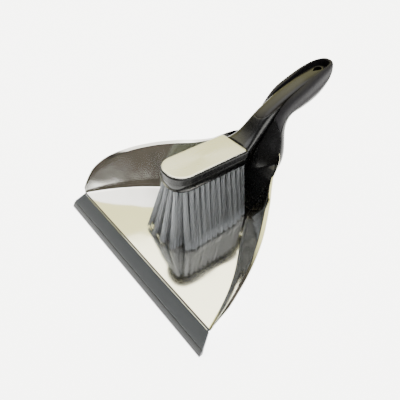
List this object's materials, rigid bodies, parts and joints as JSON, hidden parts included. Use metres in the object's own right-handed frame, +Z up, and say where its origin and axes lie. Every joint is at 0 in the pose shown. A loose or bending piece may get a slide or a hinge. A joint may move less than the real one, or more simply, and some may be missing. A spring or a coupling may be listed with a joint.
{
  "type": "dust pan and brush set",
  "caption": "Fan-shaped steel dust pan with a clip-on front lip and a curved handle whose grip nests a soft-bristled hand brush standing in the pan.",
  "frame": {"origin": "on the ground, under the centre of the whole set's bounding box", "axes": "+Z up; +Y from the front lip towards the handle's end; +X to the right seen from the lip, across the pan"},
  "size_m": [0.24, 0.2834, 0.1221],
  "materials": {
    "polished_steel": "mirror polished stainless sheet",
    "brushed_steel": "satin brushed stainless",
    "rivet_steel": "plain steel",
    "screw_zinc": "zinc plated",
    "anchor_wire": "drawn wire",
    "lip_grey": "semi-matte extruded plastic",
    "lip_grey_soft": "soft extruded blade",
    "black_plastic": "semi-gloss moulding",
    "gloss_black": "gloss moulding",
    "gloss_charcoal": "gloss moulding, charcoal",
    "soft_grip": "soft-touch over-moulding, fine grain",
    "bristle_grey": "drawn filament",
    "adhesive": "foam tape"
  },
  "bodies": {
    "pan": {"steel_tray": "polished_steel", "lip_clip": "lip_grey", "lip_blade": "lip_grey_soft", "pan_handle": "black_plastic", "pan_grip_soft_rim": "soft_grip", "handle_rivets": "rivet_steel"},
    "brush": {"brush_handle": "black_plastic", "brush_grip_insert": "gloss_charcoal", "brush_top_plate": "brushed_steel", "plate_adhesive_pad": "adhesive", "bristle_block": "gloss_black", "block_screws": "screw_zinc", "tuft_anchors": "anchor_wire", "bristles_front": "bristle_grey", "bristles_back": "bristle_grey", "bristles_left_outer": "bristle_grey", "bristles_left_middle": "bristle_grey", "bristles_left_centre": "bristle_grey", "bristles_right_centre": "bristle_grey", "bristles_right_middle": "bristle_grey", "bristles_right_outer": "bristle_grey"}
  },
  "joints": [
    {"name": "brush_lift", "type": "slide", "parent": "pan", "child": "brush", "axis": [0, 0, 1], "range_m": [0, 0.09]}
  ]
}
